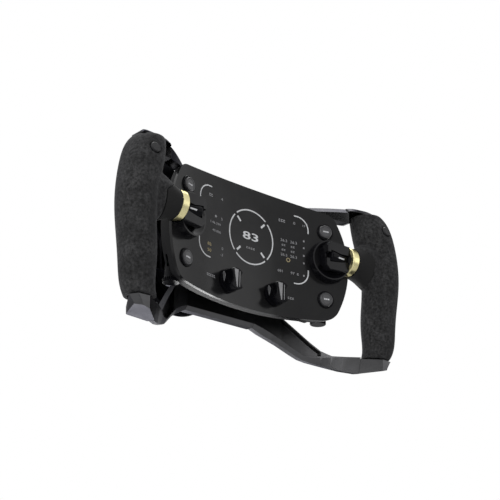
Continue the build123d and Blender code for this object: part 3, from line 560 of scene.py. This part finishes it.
def turned(profile):
    """A shape turned round the Z axis from points of radius and height, in millimetres."""
    shape = bmesh.new()
    points = [shape.verts.new((radius * mm, 0.0, height * mm)) for radius, height in profile]
    edges = [shape.edges.new(pair) for pair in zip(points, points[1:])]
    bmesh.ops.spin(
        shape, geom=points + edges, cent=(0.0, 0.0, 0.0), axis=(0.0, 0.0, 1.0),
        angle=math.tau, steps=turning_steps, use_merge=True,
    )
    bmesh.ops.remove_doubles(shape, verts=shape.verts, dist=0.002 * mm)
    bmesh.ops.recalc_face_normals(shape, faces=shape.faces)
    return shape


cap_profile = [
    (0.0, 2.30), (2.2, 2.34), (4.0, 2.46), (4.55, 2.52), (4.75, 2.25), (5.0, 2.25), (5.2, 2.62),
    (5.45, 2.80), (5.75, 2.78), (6.05, 2.55), (6.22, 2.15), (6.25, 1.0), (6.25, -2.0), (0.0, -2.0),
]


def button_cap(node, x, rise):
    """A turned cap, shown in place of a push button."""
    shape = turned(cap_profile)
    bmesh.ops.transform(shape, matrix=panel_spot(x, rise), verts=shape.verts)
    piece = finished_piece(f"cap_{node}", shape, finishes["button_plastic"], body_of[node], turned_smooth)
    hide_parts(node)


signs = (("right", 1), ("left", -1))
button_rises = (("upper", upper_button), ("lower", lower_button))
for level, rise in button_rises:
    for side, sign in signs:
        button_cap(f"button_{level}_{side}", sign * button_side, rise)
print("four turned button caps")

# %% [markdown]
# Each rotary knob has a light pointer wedge and a thin line on its bar. They are partly a pointer mark
# and partly painted highlight: their light grey stands for the lit front face and the lit right edge
# of the bar. A dished drop on the skirt beside the bar is a painted highlight, light grey where the
# skirt would mirror a lamp. They could be paint in a texture, but small plates a tenth of a millimetre
# thick stay sharp close up. A plate is two rings with a bridge between them and a filled top, and the
# drop is five rings that rise at its rim and sink to its middle.

# %% Pointer marks on the knobs
knob_side, knob_rise, knob_top, skirt_top = 26.2, -47.7, 11.8, 2.9
plate_thickness = 0.10
# Wedge and line: partly a pointer mark, partly painted highlight on the bar's lit front face and right
# edge.
pointer_and_highlight_wedge = [(-3.6, 8.0), (-0.6, -7.6), (0.4, -7.6), (1.2, 8.0)]
pointer_and_highlight_line = [(2.5, -7.0), (3.1, -7.0), (3.3, 6.8), (2.7, 6.8)]
# The drop is a painted highlight on the skirt: its place, outline and dished rings.
drop_middle, drop_half_width, drop_half_length = (-6.9, 2.0), 2.1, 4.6
drop_points, drop_round, drop_taper = 28, 0.62, 0.38
drop_rings = [(1.0, 0.02), (0.94, 0.35), (0.80, 0.35), (0.70, 0.12), (0.3, 0.05)]


def closed_ring(shape, corners, height):
    """Edges in a closed ring through flat points, at a height. In millimetres."""
    points = [shape.verts.new((x, y, height)) for x, y in corners]
    return [shape.edges.new(pair) for pair in zip(points, points[1:] + points[:1])]


def filled_rings(shape, rings):
    """Bridges each ring to the next one and fills the last."""
    for ring, next_ring in zip(rings, rings[1:]):
        bmesh.ops.bridge_loops(shape, edges=ring + next_ring)
    bmesh.ops.edgeloop_fill(shape, edges=rings[-1])


def plate_on(shape, corners, base):
    """A thin plate with the given outline, standing on a height."""
    filled_rings(shape, [closed_ring(shape, corners, base + rise) for rise in (0.0, plate_thickness)])


def drop_outline(scale):
    """Points round a drop that points down, at a scale."""
    for k in range(drop_points):
        turn = math.tau * k / drop_points
        narrow = drop_round + drop_taper * math.cos(turn)
        x = drop_middle[0] + drop_half_width * scale * narrow * math.sin(turn)
        yield x, drop_middle[1] + drop_half_length * scale * math.cos(turn)


def knob_mark(name, shape, side, sign, finish):
    """Sets a mark made in millimetres on a knob, and lets it turn with the knob."""
    node = f"knob_{side}"
    bmesh.ops.scale(shape, vec=(mm, mm, mm), verts=shape.verts)
    bmesh.ops.transform(shape, matrix=panel_spot(sign * knob_side, knob_rise), verts=shape.verts)
    bmesh.ops.recalc_face_normals(shape, faces=shape.faces)
    piece = finished_piece(f"{name}_{node}", shape, finish, body_of[node], turned_smooth)


for side, sign in signs:
    # Pointer mark whose light grey is also painted highlight on the bar's front face and right edge.
    pointer = bmesh.new()
    plate_on(pointer, pointer_and_highlight_wedge, knob_top)
    plate_on(pointer, pointer_and_highlight_line, knob_top)
    knob_mark("pointer", pointer, side, sign, finishes["pointer_grey"])
    # Painted highlight: a light grey dished drop on the skirt, where the skirt would mirror a lamp.
    drop = bmesh.new()
    rings = [closed_ring(drop, drop_outline(scale), skirt_top + rise) for scale, rise in drop_rings]
    filled_rings(drop, rings)
    knob_mark("drop", drop, side, sign, finishes["drop_grey"])
print("pointer marks on two knobs")

# %% [markdown]
# ## Print on the display
#
# The display shows a ring with a big number in it, small rows of numbers at both sides and a bracket
# at each corner. Letters could be an image, but an image blurs close up. Here every mark is a flat
# shape: bars from a grid, arcs from a spun edge, and numbers from a font curve made into a mesh. They
# are laid out flat in millimetres, and one helper then bends the whole sheet onto the curved panel.
# Words are plain blocks, so the display is nobody's.

# %% Helpers for the print
digit_height = 0.73  # of a font of size one
print_lift = 0.10
bar_step, arc_step = 3.0, 5.0


def flat_bar(shape, x, z, width, height, turn=0.0):
    """A bar of the print, cut across so that it can bend."""
    cuts = max(2, round(width / bar_step))
    made = bmesh.ops.create_grid(shape, x_segments=cuts, y_segments=1, size=0.5)["verts"]
    bmesh.ops.scale(shape, vec=(width, height, 1.0), verts=made)
    bmesh.ops.rotate(shape, cent=(0.0, 0.0, 0.0), matrix=Matrix.Rotation(turn, 3, "Z"), verts=made)
    bmesh.ops.translate(shape, vec=(x, z, 0.0), verts=made)


def flat_arc(shape, x, z, radius, width, start, sweep):
    """A band of a ring. Angles are in degrees, anticlockwise from the right."""
    first = math.radians(start)
    ends = []
    for reach in (radius - width / 2.0, radius + width / 2.0):
        ends.append(shape.verts.new((x + reach * math.cos(first), z + reach * math.sin(first), 0.0)))
    edge = shape.edges.new(ends)
    bmesh.ops.spin(
        shape, geom=[*ends, edge], cent=(x, z, 0.0), axis=(0.0, 0.0, 1.0),
        angle=math.radians(sweep), steps=round(sweep / arc_step), use_merge=False,
    )


def evaluated_mesh(piece):
    """A piece's mesh with its modifiers applied, or a text's outline as a mesh."""
    graph = bpy.context.evaluated_depsgraph_get()
    return bpy.data.meshes.new_from_object(piece.evaluated_get(graph), depsgraph=graph)


def flat_number(shape, digits, x, z, height, stretch, weight):
    """Digits of a plain built-in font, centred on a point, widened and made bolder."""
    letters = bpy.data.curves.new("digits", "FONT")
    letters.body = digits
    letters.size = height / digit_height
    letters.offset = weight
    letters.resolution_u = 3
    holder = bpy.data.objects.new("digits", letters)
    scene.collection.objects.link(holder)
    mesh = evaluated_mesh(holder)
    bpy.data.objects.remove(holder)
    corners = [point.co for point in mesh.vertices]
    middle_x = (max(c.x for c in corners) + min(c.x for c in corners)) / 2.0
    middle_y = (max(c.y for c in corners) + min(c.y for c in corners)) / 2.0
    centred = Matrix.Translation((-middle_x, -middle_y, 0.0))
    widened = Matrix.Diagonal((stretch, 1.0, 1.0, 1.0))
    mesh.transform(Matrix.Translation((x, z, 0.0)) @ widened @ centred)
    shape.from_mesh(mesh)
    bpy.data.meshes.remove(mesh)


# The bars of a block, in shares of its pitch and height: across, up, width, height.
block_bars = [(0.0, 0.3, 0.72, 0.26), (0.0, -0.3, 0.72, 0.26), (-0.24, 0.0, 0.24, 0.5)]


def flat_word(shape, start, end, z, height, letters):
    """A row of small blocks where a word would be."""
    pitch = (end - start) / letters
    for letter in range(letters):
        middle = start + (letter + 0.5) * pitch
        for across, up, wide, high in block_bars:
            flat_bar(shape, middle + across * pitch, z + up * height, wide * pitch, high * height)


def ink(name, colour, glow):
    """A lit or printed mark: nearly even colour, a little worn."""
    material = new_material(
        name, Specular_IOR_Level=0.2, Roughness=0.5, Emission_Strength=glow, Emission_Color=(*colour, 1.0)
    )
    wear = noise(material, 700.0, detail=3.0)
    faded = tuple(0.8 * channel for channel in colour)
    colour_from(material, remap(material, wear, 0.0, 1.0), faded, colour)
    return material


def print_on_panel(name, shape, finish):
    """Bends a flat print onto the panel and makes it a piece."""
    for point in shape.verts:
        x, z = point.co.x, point.co.y
        depth = panel_front - panel_radius + math.sqrt(panel_radius**2 - x**2) - print_lift
        point.co = Vector((x, depth, panel_middle + z)) * mm
    piece = finished_piece(name, shape, finish, body_of["front_panel"])


white_ink = ink("white_ink", (0.62, 0.63, 0.64), 0.10)
grey_ink = ink("grey_ink", (0.30, 0.30, 0.31), 0.03)
amber_ink = ink("amber_ink", (0.36, 0.30, 0.17), 0.03)
print("print helpers ready")

# %% [markdown]
# The ring is four quarter bands with a gap between each pair, and a short tick points inwards from
# every gap. The big number is the same plain font, stretched wide. The brackets are quarter arcs with
# a short straight at both ends, made once and mirrored to the other corners by their signs.

# %% Ring, big number and brackets
ring_radius, ring_band, quarter_sweep = 24.9, 1.25, 83.0
tick_radius, tick_length, tick_width = 19.4, 5.6, 1.9
bright = bmesh.new()
for quarter in range(4):
    flat_arc(bright, 0.0, 0.0, ring_radius, ring_band, 90.0 * quarter - quarter_sweep / 2, quarter_sweep)
    diagonal = math.radians(90.0 * quarter + 45.0)
    tick_x, tick_z = tick_radius * math.cos(diagonal), tick_radius * math.sin(diagonal)
    flat_bar(bright, tick_x, tick_z, tick_length, tick_width, diagonal)
flat_number(bright, "83", -0.2, 0.5, 7.2, stretch=1.95, weight=0.16)

corner_x, corner_z, corner_radius, corner_band, straight = 62.4, 32.3, 12.0, 1.1, 2.7
for right, top, start in ((1, 1, 0.0), (1, -1, 270.0), (-1, 1, 90.0), (-1, -1, 180.0)):
    centre_x, centre_z = right * (corner_x - corner_radius), top * (corner_z - corner_radius)
    flat_arc(bright, centre_x, centre_z, corner_radius, corner_band, start, 90.0)
    flat_bar(bright, centre_x - right * straight / 2, top * corner_z, straight, corner_band)
    flat_bar(bright, right * corner_x, centre_z - top * straight / 2, corner_band, straight)
print_on_panel("print_ring_and_brackets", bright, white_ink)
print("ring, number and four brackets")

# %% [markdown]
# The small rows are dimmer. Each number is listed once, with its middle and its height, in millimetres
# from the middle of the display: to the right, then up. A word has its start and its end instead, and
# the number of blocks that stand for its letters. The last three words stand beside the knobs.

# %% Small numbers
small = bmesh.new()
numbers = [
    ("4", -34.9, 24.9, 2.7), ("5", -34.6, 6.6, 2.4), ("1:46.399", -42.3, 0.5, 2.3),
    ("40.000", -40.7, -6.4, 2.3), ("0", -33.2, -20.3, 2.4), ("-3", -33.9, -26.1, 2.4),
    ("0", 48.0, 25.0, 2.7), ("15", 58.0, 24.6, 2.0), ("26.3", 36.9, 6.1, 2.5),
    ("26.3", 47.3, 6.1, 2.5), ("26.3", 37.1, -7.6, 2.5), ("26.3", 47.3, -7.6, 2.5),
    ("681", 33.1, -23.4, 2.5), ("97", 46.3, -23.3, 2.5),
]
words = [
    (-5.2, 5.2, -10.6, 2.0, 4), (-51.3, -46.3, 24.5, 3.0, 2), (31.0, 38.6, 24.6, 3.0, 3),
    (50.4, 53.1, -23.3, 2.2, 1), (34.5, 38.9, 1.5, 1.9, 2), (34.5, 38.9, -3.1, 1.9, 2),
    (44.2, 48.6, 1.5, 1.9, 2), (44.2, 48.6, -3.1, 1.9, 2), (-51.8, -41.4, -48.0, 2.6, 5),
    (-16.6, -9.7, -37.0, 2.0, 4), (41.0, 47.9, -47.2, 2.4, 3),
]
dot_x, dot_rises = 57.9, (9.6, 2.9, -4.4, -11.6, -23.5)
for digits, x, z, height in numbers:
    flat_number(small, digits, x, z, height, stretch=1.25, weight=0.03)
for start, end, z, height, letters in words:
    flat_word(small, start, end, z, height, letters)
for z in dot_rises:
    flat_bar(small, dot_x, z, 1.5, 1.7)
flat_bar(small, -42.1, 6.9, 2.0, 2.0, math.radians(45.0))
print_on_panel("print_small_numbers", small, grey_ink)

amber = bmesh.new()
for digits, x, z in (("88", -49.4, -20.6), ("50", -49.3, -26.0)):
    flat_number(amber, digits, x, z, 2.9, stretch=1.25, weight=0.04)
flat_arc(amber, 41.7, -11.7, 1.7, 0.8, 0.0, 359.0)
print_on_panel("print_amber", amber, amber_ink)
print("small numbers:", len(numbers), "words as blocks:", len(words))

# %% [markdown]
# The button caps and the thumb rollers carry a small light mark too. On a cap it is a row of three
# short bars, and on a roller one bar. Cut letters would be finer than the caps show, so the bars of
# the display's print serve again, and the same panel directions as before set them on the caps.

# %% Marks on the caps and rollers
cap_mark_height = 2.44
cap_bars, cap_bar_height = ((-1.9, 1.6), (0.0, 1.4), (1.9, 1.6)), 1.3
roller_bar_length, roller_bar_width = 7.0, 1.25
roller_mark_side, roller_mark_radius, roller_mark_down = 84.7, 5.9, math.radians(13.0)


def cap_mark(node, x, rise):
    """Three short bars in a row on a push button, where its word would be."""
    shape = bmesh.new()
    for offset, width in cap_bars:
        flat_bar(shape, offset, 0.0, width, cap_bar_height)
    bmesh.ops.scale(shape, vec=(mm, mm, mm), verts=shape.verts)
    bmesh.ops.translate(shape, vec=(0.0, 0.0, cap_mark_height * mm), verts=shape.verts)
    bmesh.ops.transform(shape, matrix=panel_spot(x, rise), verts=shape.verts)
    piece = finished_piece(f"mark_{node}", shape, white_ink, body_of[node])


def roller_mark(side, sign):
    """A bar that lies along a thumb roller, a little below its front."""
    node = f"thumb_roller_{side}"
    low, high = (Vector(corner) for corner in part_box(node))
    axis = (low + high) / 2.0
    shape = bmesh.new()
    flat_bar(shape, 0.0, 0.0, roller_bar_length, roller_bar_width)
    bmesh.ops.scale(shape, vec=(mm, mm, mm), verts=shape.verts)
    upright = Matrix.Rotation(math.radians(90.0) + roller_mark_down, 3, "X")
    bmesh.ops.rotate(shape, cent=(0.0, 0.0, 0.0), matrix=upright, verts=shape.verts)
    forward = roller_mark_radius * mm * math.cos(roller_mark_down)
    below = roller_mark_radius * mm * math.sin(roller_mark_down)
    place = Vector((sign * roller_mark_side * mm, axis.y - forward, axis.z - below))
    bmesh.ops.translate(shape, vec=place, verts=shape.verts)
    piece = finished_piece(f"mark_{node}", shape, white_ink, body_of[node])


for side, sign in signs:
    for level, rise in button_rises:
        cap_mark(f"button_{level}_{side}", sign * button_side, rise)
    roller_mark(side, sign)
print("marks on four caps and two rollers")

# %% [markdown]
# ## Suede grips
#
# The real grip is a hard foam shape with suede glued tight round it, so it has no folds, only a soft
# outline and rounded ends. A cloth simulation would swell it like a cushion. Instead the CAD skin is
# turned into an even fine mesh with a voxel remesh, and smoothing lets every edge roll over the way
# glued suede does.

# %% Grips
grip_voxel = 0.85 * mm
smoothing_passes = 3


def suede_grip(side):
    """A grip's skin as an even, softly rounded mesh."""
    node = f"grip_skin_{side}"
    shape = merged_copy(node)
    piece = finished_piece(
        f"suede_grip_{side}", shape, finishes["grip_suede"], body_of[node], smooth_angle=180.0
    )
    remesh = piece.modifiers.new("even mesh", "REMESH")
    remesh.mode = "VOXEL"
    remesh.voxel_size = grip_voxel
    mesh = evaluated_mesh(piece)
    piece.modifiers.remove(remesh)
    shape = bmesh.new()
    shape.from_mesh(mesh)
    for _ in range(smoothing_passes):
        bmesh.ops.smooth_vert(
            shape, verts=shape.verts, factor=0.5, use_axis_x=True, use_axis_y=True, use_axis_z=True
        )
    shape.to_mesh(mesh)
    shape.free()
    mesh.shade_smooth()
    mesh.name = piece.name
    piece.data = mesh
    dress(piece, finishes["grip_suede"])
    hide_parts(node)
    print(piece.name, "points:", len(mesh.vertices))


for side in sides:
    suede_grip(side)
